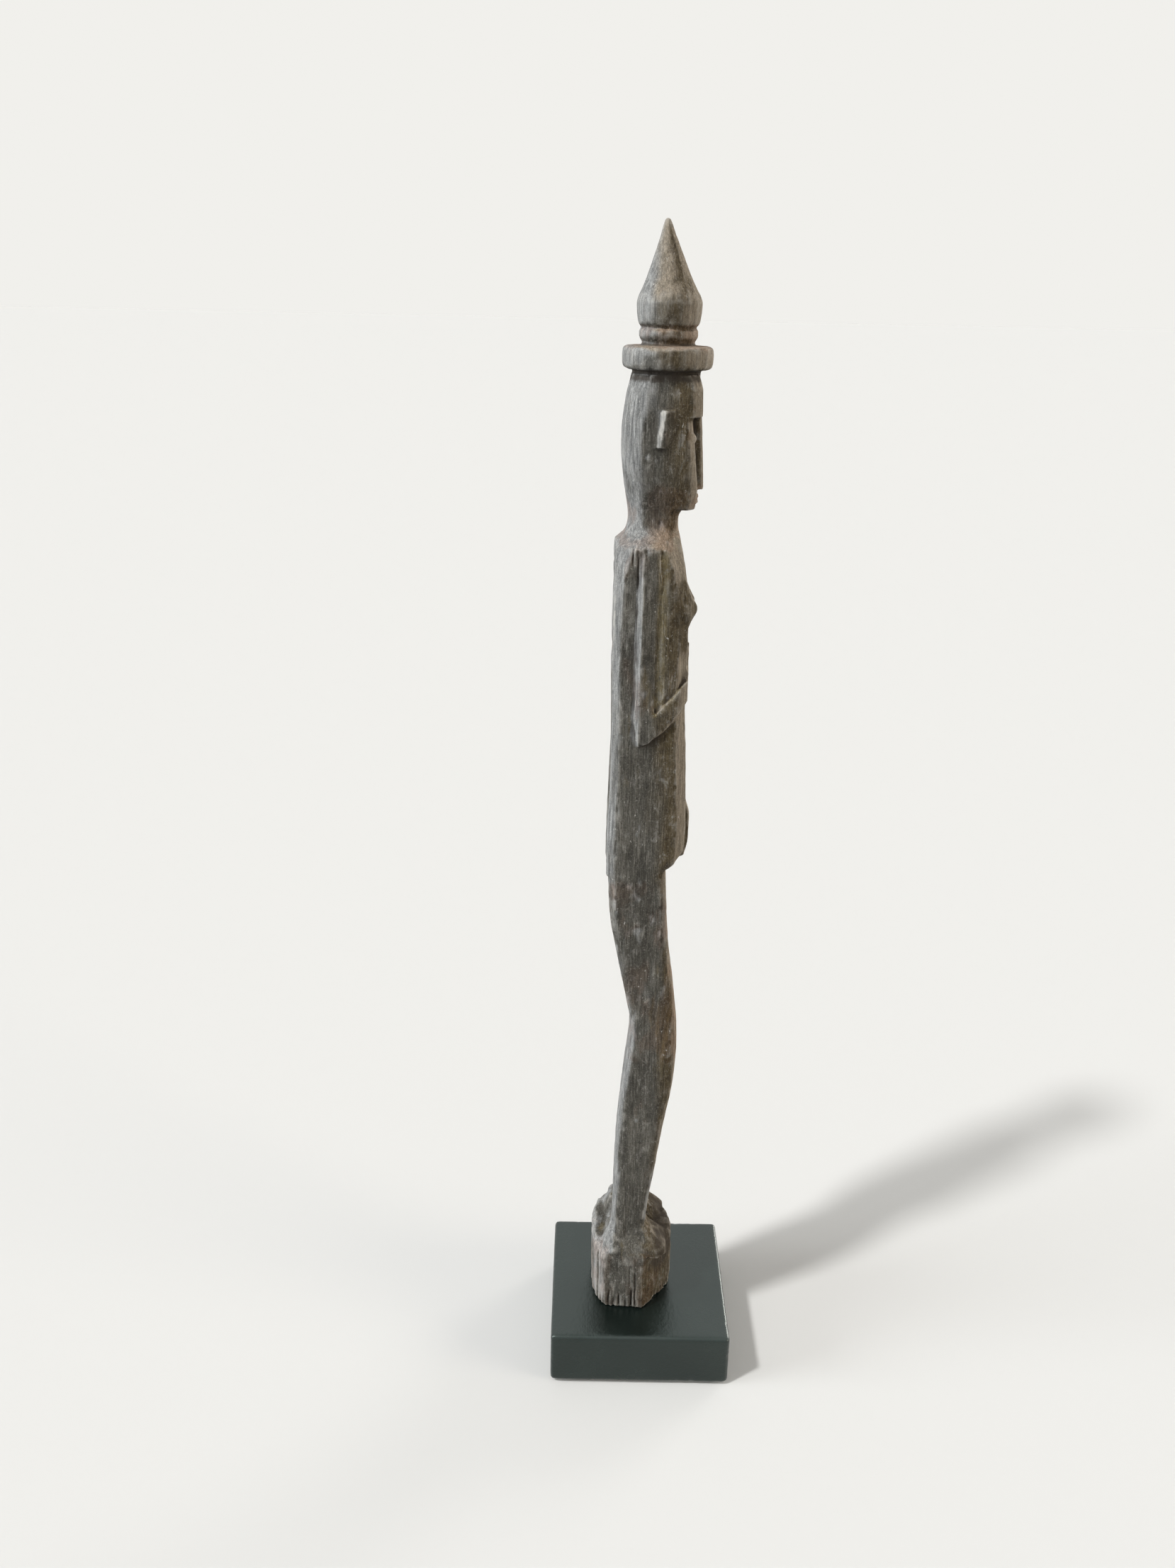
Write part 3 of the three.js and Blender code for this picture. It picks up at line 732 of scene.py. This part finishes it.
# Pale scrapes on the figure's right side, in mm: y, height, reach along y and upwards, how pale (0 to 1).
SCRAPES = [
    (9.7, 363.5, 1.8, 2.6, 0.78), (14.9, 343.5, 1.0, 5.0, 0.55), (9.8, 294.0, 1.3, 1.6, 0.75),
    (10.7, 289.5, 1.2, 1.8, 0.75), (12.7, 261.5, 3.4, 2.6, 0.60), (16.5, 230.0, 3.6, 4.5, 0.30),
    (1.2, 213.0, 3.0, 3.4, 0.50), (-5.2, 199.5, 2.0, 2.4, 0.72), (6.7, 198.0, 2.0, 2.4, 0.58),
    (7.1, 177.0, 2.2, 5.0, 0.45), (5.7, 122.0, 1.2, 1.4, 0.80), (-10.0, 374.0, 3.0, 11.0, 0.85),
]

# Skin that faces behind and above is paler: partly weathering, partly painted light from that side.
WEATHER_AND_LIGHT_FROM = np.array([-0.10, 0.90, 0.62])

# How far the skin stands out, in mm, that counts as full relief: small marks, larger marks and whole forms.
FINE_RELIEF = 0.10
BROAD_RELIEF = 0.45
FORM_RELIEF = 0.9

# Where the ears, the groove beside the chest, the forearm, the arm's ridge and the leg's back lie, in mm:
# how far out on x, or how far back on y.
EAR_X = 17.2
EAR_RIM_X = 18.2
EAR_HIGHLIGHT_Y = (3.5, 7.6)
EAR_SHADE_Y = (8.2, 11.5)
GROOVE_Y = (0.4, 3.8)
FOREARM_X = 16
FOREARM_BACK_Y = 5
RIDGE_X = 19
RIDGE_Y = (11.8, 14.6)
LEG_BACK_Y = 13


class Skin:
    """The carved skin as arrays, in mm, with what the wear depends on."""

    def __init__(self, mesh):
        self.points, self.normals, self.edges = mesh_arrays(mesh)
        self.height = height_of(self.points)
        self.x = np.abs(self.points[:, 0])
        self.y = self.points[:, 1]
        self.turned = self.height > HEADDRESS_START
        self.form = self.bulge(110) / FORM_RELIEF
        relief = 0.5 * self.bulge(3) / FINE_RELIEF + 0.5 * self.bulge(24) / BROAD_RELIEF
        self.relief = self.softer(relief, 1)
        self.lean = self.plane_normals()

    def bulge(self, times):
        """How far each point stands out from the skin smoothed that many times."""
        return np.einsum("ij,ij->i", self.points - self.softer(self.points, times), self.normals)

    def softer(self, values, times):
        return smoothed(values, self.edges, times)

    def plane_normals(self):
        """Normals smoothed until they show the lean of each plane, most of all on the round head."""
        near = self.softer(self.normals, 3)
        return near + (self.softer(self.normals, 60) - near) * window(self.height, *HEAD, 4)[:, None]

    def noise(self, size, seed):
        return noise(self.points, size, seed)


def ear_highlight_and_shade(skin):
    """A painted highlight on the back face of each ear, and painted shade behind it."""
    beside = (skin.x > EAR_X) * window(skin.height, *EARS, 1)
    highlight = beside * window(skin.y, *EAR_HIGHLIGHT_Y, 0.5) * (skin.x > EAR_RIM_X)
    highlight = skin.softer(highlight * np.clip(skin.normals[:, 1] * 4 - 0.8, 0, 1), 1)
    return highlight, skin.softer(beside * window(skin.y, *EAR_SHADE_Y, 0.8), 3)


def arm_marks(skin):
    """The groove between the upper arm and the chest, and the upper face of the forearm."""
    groove = window(skin.y, *GROOVE_Y, 1.2) * (skin.x > SIDE_X) * window(skin.height, *GROOVE, 8)
    groove = groove * (skin.height > forearm_line(skin.y))
    upwards = np.clip(skin.normals[:, 2] * 2, 0, 1)
    forearm = (skin.x > FOREARM_X) * window(skin.height, *FOREARM, 3) * (skin.y < FOREARM_BACK_Y)
    return groove, forearm * upwards


def scraped(skin):
    """How pale each point is from the scrapes, which have ragged edges."""
    ragged = 0.8 * skin.noise((2.0, 2.0, 2.6), 38)
    pale = np.zeros(len(skin.points))
    for y, level, reach, tall, amount in SCRAPES:
        far = ((skin.y - y) / reach) ** 2 + ((skin.height - level) / tall) ** 2
        pale = np.maximum(pale, amount * np.clip(np.exp(-far) + ragged * np.exp(-0.5 * far), 0, 1.2))
    return pale * (skin.points[:, 0] < 0)


def weather_and_painted_light(skin, ear_highlight, forearm_top):
    """How pale the skin is: partly weathering and partly painted light from behind and above, with chance
    patches on head and legs.
    """
    height = skin.height
    backwards = skin.lean[:, 1]
    up = np.clip(skin.lean[:, 2], 0, 1)
    # Skin that faces behind and above is paler, partly as painted light, and the head's contrast is raised.
    pale = skin.lean @ WEATHER_AND_LIGHT_FROM + 0.28 * skin.noise((6, 6, 20), 31) * np.where(skin.turned, 0.5, 1)
    pale += 0.5 * window(height, *HEAD, 4) * (pale - 0.5)
    middle = np.clip((16 - skin.x) / 5, 0, 1) * (backwards > 0) * ~skin.turned
    pale -= middle * (0.30 + 0.55 * skin.noise((11, 11, 46), 34))
    # Tops of the shoulders and upward faces of the headdress are paler: painted light from above.
    pale += bands(height, WEATHER_AND_LIGHT_BANDS) + 0.30 * window(height, *SHOULDER_TOPS, 12) * up
    pale += 0.90 * skin.turned * np.minimum(up, 0.45)
    pale += window(height, *LEGS, 10) * np.clip(skin.noise((3.4, 3.4, 5), 36) - 0.20, 0, 0.6)
    pale += 1.4 * window(height, *JAW, 8) * np.clip(skin.noise((2.8, 2.8, 4.5), 37) - 0.25, 0, 1)
    pale -= 0.5 * window(height, *SHINS, 14) * np.clip(pale, 0, 1) * np.clip(1 - 1.4 * backwards, 0, 1)
    # A painted highlight along the back ridge of each upper arm.
    pale += 0.45 * window(skin.y, *RIDGE_Y, 0.6) * (skin.x > RIDGE_X) * window(height, *ARM_RIDGE, 5)
    haze = (0.6 + 0.8 * skin.noise((7, 7, 12), 39)) * (skin.y < LEG_BACK_Y)
    pale += 0.26 * window(height, *THIGH_HAZE, 10) * haze * np.clip(1 - 2 * np.abs(backwards), 0, 1)
    pale -= 0.35 * window(height, *THIGH_BACKS, 10) * np.clip(backwards, 0, 1)
    # The back face of each ear gets a painted highlight.
    return pale + 0.9 * ear_highlight - 0.5 * forearm_top


def front_painted_light(skin):
    """Painted light on the skin that faces forwards, paler on raised forms and less so where it turns to
    the side.
    """
    pale = 0.40 * skin.noise((5, 5, 16), 35) - 0.16 + 0.45 * np.clip(skin.form, -1, 1) - 0.15 * skin.turned
    sideways = np.clip(3.0 * np.abs(skin.lean[:, 0]) - 0.3, 0, 1)
    pale += bands(skin.height, FRONT_LIGHT_BANDS) + sideways * bands(skin.height, FRONT_SIDE_LIGHT_BANDS)
    ahead = -skin.lean[:, 1]
    return (np.clip(1.4 * ahead - 0.32, 0, 1) + pale * np.clip(2.2 * ahead - 0.25, 0, 1)) * (ahead > 0)


def dips_and_painted_shade(skin, groove, ear_shade):
    """How dark the skin is: darker in dips, with a painted shadow under the brim and painted shade behind
    the ears and round the toes.
    """
    dark = -0.6 * skin.relief * (1 - 0.85 * skin.softer(groove, 4)) * np.where(skin.turned, 0.6, 1)
    # A painted shadow under the brim; broad hollows are darker too.
    dark += 1.1 * window(skin.height, *UNDER_BRIM, 2) - 0.35 * np.minimum(skin.form, 0)
    dark *= 1 - 0.55 * window(skin.height, *FEET, 6)
    # Painted shade behind each ear and on the pedestal in front of the feet.
    before_feet = np.clip(-(skin.y + 1) / 8, 0, 1)
    return dark + 0.30 * ear_shade + bands(skin.height, TOE_SHADE_BANDS) * before_feet


def warm_amount(skin):
    """How brown the skin is: in front, on top and on the headdress more than behind and on the legs; the
    brown on forward and upward faces is partly painted warm light.
    """
    warm = (4 - skin.y) / 15 + 0.30 - 0.35 * skin.lean[:, 1] + 0.5 * skin.turned
    # Upward faces are browner: painted warm light in part.
    warm += 0.9 * np.clip(skin.lean[:, 2], 0, 1) + bands(skin.height, WARM_BANDS)
    return warm + 0.35 * skin.noise((12, 12, 30), 32)


def add_wear_and_painted_light(mesh):
    """Marks what the shader needs: paleness that is partly weathering and partly painted light, warmth that
    is partly painted warm light, reddish bands, rubbed edges with a painted highlight on each ear, and dips
    with painted shade and shadow.
    """
    skin = Skin(mesh)
    ear_highlight, ear_shade = ear_highlight_and_shade(skin)
    groove, forearm_top = arm_marks(skin)
    # Paleness that is partly weathering and partly painted light from behind, above and in front, or the
    # scrapes.
    bleach_and_light = np.maximum(weather_and_painted_light(skin, ear_highlight, forearm_top) - 0.02, front_painted_light(skin))
    add_attribute(mesh, "bleach_and_light", np.maximum(bleach_and_light, scraped(skin)))
    # Wear on high spots, plus a painted highlight on the back face of each ear.
    add_attribute(mesh, "wear", 0.55 * (skin.relief - 0.35) + 1.5 * ear_highlight)
    add_attribute(mesh, "ochre", 0.9 * skin.softer(np.maximum(groove, 0.7 * forearm_top), 2))
    add_attribute(mesh, "dips_and_shade", dips_and_painted_shade(skin, groove, ear_shade))
    add_attribute(mesh, "warmth", warm_amount(skin))
    red = bands(skin.height, RED_BANDS)
    add_attribute(mesh, "redness", red * (0.8 + 0.8 * skin.noise((9, 9, 14), 33)))


def make_figure():
    mesh = remeshed("carved_figure", FIGURE_VOXEL_MM)
    points, normals, edges = mesh_arrays(mesh)
    set_places(mesh, carve(points, normals, edges))
    mesh = thinned(mesh, FIGURE_TRIANGLES)
    add_wear_and_painted_light(mesh)
    add_piece("figure_carving", mesh, weathered_wood(), ["carved_figure"])


# ---------------------------------------------------------------- the painted block

BLOCK_VOXEL_MM = 1.0

PAINT_DARK = (0.0042, 0.0075, 0.0066, 1)
PAINT_PALE = (0.0072, 0.0115, 0.0102, 1)
PAINT_SPECK = (0.06, 0.06, 0.055, 1)
BARE_WOOD = (0.270, 0.225, 0.150, 1)
PAINT_GLOSS = 0.60
PAINT_GLINT = (0.86, 1.0, 0.95, 1)

# How the block's skin is worn, in mm, except ROUNDING, which is a share of the way to its smoothed shape.
ROUNDING = 0.8
DIP = 0.16
CHIP = 0.45
CHIP_EDGE = 0.2
FOOT_RUB = 2.2
BEND = 0.12

# Nothing dips or chips round the bores, in mm: half that region's size along x and y, its centre's y, and
# how far it stays below the top.
BORED_HALF = (30, 20)
BORED_Y = 6
BELOW_TOP = 2


def satin_paint():
    """Thin satin black paint that mirrors the pale room dimly and shows the wood where it is rubbed off."""
    s = Shader("satin_paint")
    mottle = s.noise(26, 4, 0.6)
    nap = s.noise(480, 4, 0.7)
    speck = s.noise(520, 2, 0.5)
    colour = s.mix(s.between(mottle, 0.35, 0.65), PAINT_DARK, PAINT_PALE)
    colour = s.mix(s.between(speck, 0.70, 0.78, 0, 0.35), colour, PAINT_SPECK)
    colour = s.mix(s.between(s.attribute("wear"), 0.45, 0.9, 0, 0.85), colour, BARE_WOOD)
    s.feed(s.out.inputs["Base Color"], colour)
    s.feed(s.out.inputs["Roughness"], s.between(mottle, 0.3, 0.7, 0.21, 0.31))
    s.out.inputs["Specular IOR Level"].default_value = PAINT_GLOSS
    s.out.inputs["Specular Tint"].default_value = PAINT_GLINT
    s.feed(s.out.inputs["Normal"], s.bump(nap, 0.22, 0.9, s.bump(mottle, 0.5, 0.3)))
    return s.material


def worn_block(points, normals, edges, low, high):
    """The block's skin with rounded chipped edges and shallow dips, still inside the box low to high."""
    worn = smoothed(points, edges, 6)
    edge = np.linalg.norm(points - worn, axis=1)
    points = points + (worn - points) * ROUNDING
    dip = DIP * (noise(points, (30, 30, 30), 71) - 0.8)
    chip = np.clip(noise(points, (4, 4, 4), 72) - 0.25, 0, 1) * np.clip(edge / CHIP_EDGE, 0, 1)
    x, y, z = points.T
    bored = (np.abs(x) < BORED_HALF[0]) & (np.abs(y - BORED_Y) < BORED_HALF[1]) & (z < high[2] - BELOW_TOP)
    push = np.where(bored, 0, dip - CHIP * chip)
    return np.clip(points + normals * push[:, None], low, high)


def block_rub(points, normals, edges, low):
    """How far the paint is rubbed off: along the edges, most of all along the lowest ones."""
    bend = np.einsum("ij,ij->i", points - smoothed(points, edges, 3), normals)
    foot = np.clip(1 - (points[:, 2] - low[2]) / FOOT_RUB, 0, 1)
    return np.clip(bend / BEND, 0, 1) * (0.12 + 1.1 * foot) * (0.7 + 0.9 * noise(points, (9, 9, 9), 73))


def make_block():
    mesh = remeshed("mounting_block", BLOCK_VOXEL_MM)
    low, high = np.array(BLOCK_LOW) / MM, np.array(BLOCK_HIGH) / MM
    set_places(mesh, worn_block(*mesh_arrays(mesh), low, high))
    add_attribute(mesh, "wear", block_rub(*mesh_arrays(mesh), low))
    add_piece("block_painted", mesh, satin_paint(), ["mounting_block"])


# ---------------------------------------------------------------- felt and screws

FELT_DARK = (0.018, 0.016, 0.015, 1)
FELT_PALE = (0.060, 0.055, 0.050, 1)
FELT_SHEEN = 0.4
FELT_VOXEL_MM = 0.3
FELT_ROUNDING = 0.9
FELT_FUZZ_MM = 0.16
FELT_FUZZ_SIZE_MM = (0.9, 0.9, 0.9)

ZINC_DARK = (0.50, 0.51, 0.52, 1)
ZINC_PALE = (0.66, 0.66, 0.65, 1)


def felt():
    s = Shader("dark_felt")
    fuzz = s.noise(900, 5, 0.7)
    s.feed(s.out.inputs["Base Color"], s.mix(s.between(fuzz, 0.3, 0.7), FELT_DARK, FELT_PALE))
    s.out.inputs["Roughness"].default_value = 1.0
    s.out.inputs["Sheen Weight"].default_value = FELT_SHEEN
    s.feed(s.out.inputs["Normal"], s.bump(fuzz, 0.25))
    return s.material


def zinc():
    s = Shader("zinc_steel")
    turned = s.noise(1, 4, 0.6, (300, 300, 2400))
    cloud = s.noise(120, 4, 0.6)
    s.feed(s.out.inputs["Base Color"], s.mix(s.between(cloud, 0.35, 0.7), ZINC_DARK, ZINC_PALE))
    s.out.inputs["Metallic"].default_value = 1.0
    s.feed(s.out.inputs["Roughness"], s.between(turned, 0.3, 0.7, 0.28, 0.46))
    s.feed(s.out.inputs["Normal"], s.bump(turned, 0.03, 0.5))
    return s.material


def make_felt_feet(material):
    """Each felt pad with softened edges and a fuzzy skin, still inside its CAD box."""
    for node in sorted(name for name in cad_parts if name.startswith("felt_")):
        mesh = remeshed(node, FELT_VOXEL_MM)
        points, normals, edges = mesh_arrays(mesh)
        low, high = (np.array(corner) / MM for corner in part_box(node))
        points = points + (smoothed(points, edges, 5) - points) * FELT_ROUNDING
        fuzz = FELT_FUZZ_MM * (noise(points, FELT_FUZZ_SIZE_MM, 90) - 0.5)
        points = points + normals * fuzz[:, None]
        set_places(mesh, np.clip(points, low, high))
        add_piece(node.replace("felt_", "felt_disc_"), mesh, material, [node])


def finish_screws(material):
    for name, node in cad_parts.items():
        if name.startswith(("wood_screw", "screw_washer")):
            node.data.materials.clear()
            node.data.materials.append(material)


make_camera()
make_floor()
make_lights()
make_surround()
make_figure()
make_block()
make_felt_feet(felt())
finish_screws(zinc())
